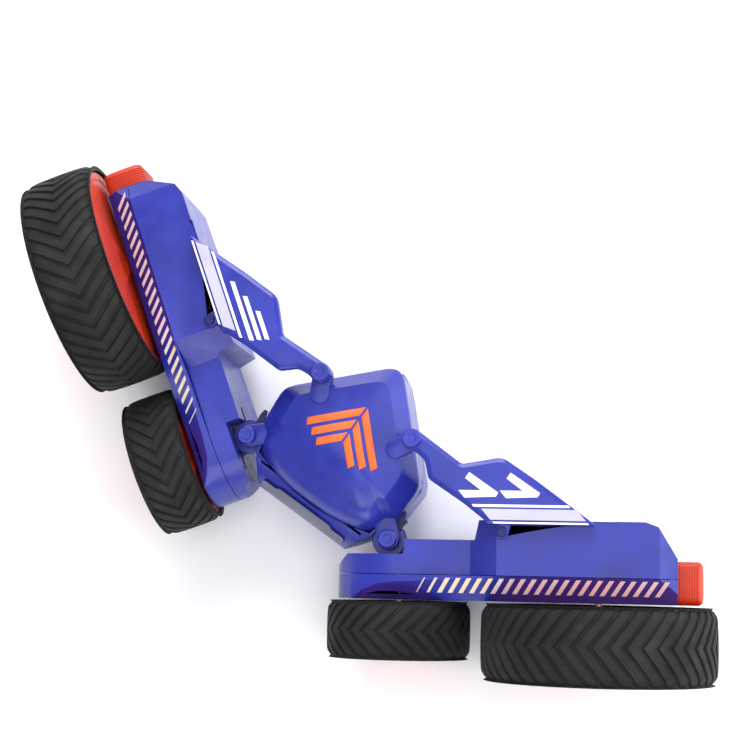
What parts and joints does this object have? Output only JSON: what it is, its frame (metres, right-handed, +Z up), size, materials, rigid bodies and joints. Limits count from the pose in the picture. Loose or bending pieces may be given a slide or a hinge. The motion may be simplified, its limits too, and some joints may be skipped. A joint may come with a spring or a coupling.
{
  "type": "radio-control stunt car",
  "caption": "Stunt car with two arms that swing out on upright hinges, treaded wheels on each arm, and fins that follow the arms.",
  "frame": {"origin": "on the floor, under the middle of the car's bounding box with its arms open", "axes": "+X forward, towards the round barrel; +Y to the car's left; +Z up"},
  "size_m": [0.1352, 0.3904, 0.105],
  "materials": {
    "blue_plastic": "moulded, satin gloss",
    "orange_plastic": "moulded, satin",
    "tyre": "matt, treaded",
    "gear_plastic": "moulded nylon",
    "steel": "turned",
    "trim_grey": "satin",
    "battery_wrap": "shrink wrap",
    "board": "solder mask",
    "black_plastic": "moulded"
  },
  "bodies": {
    "body": {"lower_shell": "blue_plastic", "canopy_shell": "blue_plastic", "front_trim_bar": "trim_grey", "battery_door": "blue_plastic", "door_screw": "steel", "battery_pack": "battery_wrap", "circuit_board": "board", "swing_motor": "steel", "hinge_pin_left": "steel", "hinge_pin_right": "steel", "fin_pivot_pin_left": "steel", "fin_pivot_pin_right": "steel"},
    "power_switch": {"power_switch": "black_plastic"},
    "swing_idler_left": {"swing_idler_left": "gear_plastic"},
    "swing_idler_right": {"swing_idler_right": "gear_plastic"},
    "swing_pinion": {"swing_pinion": "gear_plastic"},
    "arm_left": {"arm_inner_shell_left": "blue_plastic", "arm_outer_shell_left": "blue_plastic", "tail_cap_left": "orange_plastic", "swing_gear_left": "black_plastic", "drive_motor_left": "steel"},
    "fin_left": {"fin_left": "blue_plastic", "guide_pin_left": "steel"},
    "rear_wheel_left": {"rear_tyre_left": "tyre", "rear_hub_left": "orange_plastic", "rear_hub_plate_left": "orange_plastic", "rear_axle_left": "steel", "rear_axle_gear_left": "gear_plastic"},
    "front_wheel_left": {"front_tyre_left": "tyre", "front_hub_left": "orange_plastic", "front_hub_plate_left": "orange_plastic", "front_axle_left": "steel", "front_axle_gear_left": "gear_plastic"},
    "front_idler_left": {"front_idler_left": "gear_plastic"},
    "middle_idler_left": {"middle_idler_left": "gear_plastic"},
    "rear_idler_left": {"rear_idler_left": "gear_plastic"},
    "motor_pinion_left": {"motor_pinion_left": "gear_plastic"},
    "arm_right": {"arm_inner_shell_right": "blue_plastic", "arm_outer_shell_right": "blue_plastic", "tail_cap_right": "orange_plastic", "swing_gear_right": "black_plastic", "drive_motor_right": "steel"},
    "fin_right": {"fin_right": "blue_plastic", "guide_pin_right": "steel"},
    "rear_wheel_right": {"rear_tyre_right": "tyre", "rear_hub_right": "orange_plastic", "rear_hub_plate_right": "orange_plastic", "rear_axle_right": "steel", "rear_axle_gear_right": "gear_plastic"},
    "front_wheel_right": {"front_tyre_right": "tyre", "front_hub_right": "orange_plastic", "front_hub_plate_right": "orange_plastic", "front_axle_right": "steel", "front_axle_gear_right": "gear_plastic"},
    "front_idler_right": {"front_idler_right": "gear_plastic"},
    "middle_idler_right": {"middle_idler_right": "gear_plastic"},
    "rear_idler_right": {"rear_idler_right": "gear_plastic"},
    "motor_pinion_right": {"motor_pinion_right": "gear_plastic"}
  },
  "joints": [
    {"name": "arm_left_swing", "type": "hinge", "parent": "body", "child": "arm_left", "pos_m": [0.00706, 0.0405, 0.04], "axis": [0, 0, 1], "range_deg": [0, 55]},
    {"name": "arm_right_swing", "type": "hinge", "parent": "body", "child": "arm_right", "pos_m": [0.00706, -0.0405, 0.04], "axis": [0, 0, 1], "range_deg": [-55, 0]},
    {"name": "fin_left_swing", "type": "hinge", "parent": "body", "child": "fin_left", "pos_m": [-0.03594, 0.0255, 0.075], "axis": [0, 0, 1], "range_deg": [0, 95.1]},
    {"name": "fin_right_swing", "type": "hinge", "parent": "body", "child": "fin_right", "pos_m": [-0.03594, -0.0255, 0.075], "axis": [0, 0, 1], "range_deg": [-95.1, 0]},
    {"name": "swing_idler_left_turn", "type": "hinge", "parent": "body", "child": "swing_idler_left", "pos_m": [-0.00567, 0.015, 0.0468], "axis": [0, 0, 1], "range_deg": [-49.6, 0]},
    {"name": "swing_idler_right_turn", "type": "hinge", "parent": "body", "child": "swing_idler_right", "pos_m": [-0.00567, -0.015, 0.0468], "axis": [0, 0, 1], "range_deg": [0, 49.6]},
    {"name": "swing_pinion_turn", "type": "hinge", "parent": "body", "child": "swing_pinion", "pos_m": [-0.02817, 0.015, 0.0468], "axis": [0, 0, 1], "range_deg": [0, 99.1]},
    {"name": "power_switch_slide", "type": "slide", "parent": "body", "child": "power_switch", "axis": [0, 1, 0], "range_m": [0, 0.004]},
    {"name": "rear_wheel_left_spin", "type": "hinge", "parent": "arm_left", "child": "rear_wheel_left", "pos_m": [-0.04749, 0.1184, 0.0525], "axis": [0.8192, 0.5736, 0], "continuous": true},
    {"name": "front_wheel_left_spin", "type": "hinge", "parent": "arm_left", "child": "front_wheel_left", "pos_m": [0.005, 0.04345, 0.03325], "axis": [0.8192, 0.5736, 0], "continuous": true},
    {"name": "front_idler_left_turn", "type": "hinge", "parent": "arm_left", "child": "front_idler_left", "pos_m": [-0.00679, 0.06028, 0.03757], "axis": [0.8192, 0.5736, 0], "continuous": true},
    {"name": "middle_idler_left_turn", "type": "hinge", "parent": "arm_left", "child": "middle_idler_left", "pos_m": [-0.0197, 0.07872, 0.04231], "axis": [0.8192, 0.5736, 0], "continuous": true},
    {"name": "rear_idler_left_turn", "type": "hinge", "parent": "arm_left", "child": "rear_idler_left", "pos_m": [-0.03261, 0.09716, 0.04704], "axis": [0.8192, 0.5736, 0], "continuous": true},
    {"name": "motor_pinion_left_turn", "type": "hinge", "parent": "arm_left", "child": "motor_pinion_left", "pos_m": [-0.03261, 0.09716, 0.03054], "axis": [0.8192, 0.5736, 0], "continuous": true},
    {"name": "rear_wheel_right_spin", "type": "hinge", "parent": "arm_right", "child": "rear_wheel_right", "pos_m": [-0.04749, -0.1184, 0.0525], "axis": [-0.8192, 0.5736, 0], "continuous": true},
    {"name": "front_wheel_right_spin", "type": "hinge", "parent": "arm_right", "child": "front_wheel_right", "pos_m": [0.005, -0.04345, 0.03325], "axis": [-0.8192, 0.5736, 0], "continuous": true},
    {"name": "front_idler_right_turn", "type": "hinge", "parent": "arm_right", "child": "front_idler_right", "pos_m": [-0.00679, -0.06028, 0.03757], "axis": [-0.8192, 0.5736, 0], "continuous": true},
    {"name": "middle_idler_right_turn", "type": "hinge", "parent": "arm_right", "child": "middle_idler_right", "pos_m": [-0.0197, -0.07872, 0.04231], "axis": [-0.8192, 0.5736, 0], "continuous": true},
    {"name": "rear_idler_right_turn", "type": "hinge", "parent": "arm_right", "child": "rear_idler_right", "pos_m": [-0.03261, -0.09716, 0.04704], "axis": [-0.8192, 0.5736, 0], "continuous": true},
    {"name": "motor_pinion_right_turn", "type": "hinge", "parent": "arm_right", "child": "motor_pinion_right", "pos_m": [-0.03261, -0.09716, 0.03054], "axis": [-0.8192, 0.5736, 0], "continuous": true}
  ],
  "couplings": [
    {"joint": "arm_right_swing", "follows": "arm_left_swing", "ratio": -1},
    {"joint": "fin_left_swing", "follows": "arm_left_swing", "ratio": 1.7273},
    {"joint": "fin_right_swing", "follows": "arm_left_swing", "ratio": -1.7273},
    {"joint": "swing_idler_left_turn", "follows": "arm_left_swing", "ratio": -0.9},
    {"joint": "swing_idler_right_turn", "follows": "arm_left_swing", "ratio": 0.9},
    {"joint": "swing_pinion_turn", "follows": "arm_left_swing", "ratio": 1.8},
    {"joint": "front_wheel_left_spin", "follows": "rear_wheel_left_spin", "ratio": 1.5789},
    {"joint": "front_idler_left_turn", "follows": "rear_wheel_left_spin", "ratio": -1.3043},
    {"joint": "middle_idler_left_turn", "follows": "rear_wheel_left_spin", "ratio": 1.3043},
    {"joint": "rear_idler_left_turn", "follows": "rear_wheel_left_spin", "ratio": -1.3043},
    {"joint": "motor_pinion_left_turn", "follows": "rear_wheel_left_spin", "ratio": 3},
    {"joint": "front_wheel_right_spin", "follows": "rear_wheel_right_spin", "ratio": 1.5789},
    {"joint": "front_idler_right_turn", "follows": "rear_wheel_right_spin", "ratio": -1.3043},
    {"joint": "middle_idler_right_turn", "follows": "rear_wheel_right_spin", "ratio": 1.3043},
    {"joint": "rear_idler_right_turn", "follows": "rear_wheel_right_spin", "ratio": -1.3043},
    {"joint": "motor_pinion_right_turn", "follows": "rear_wheel_right_spin", "ratio": 3}
  ]
}
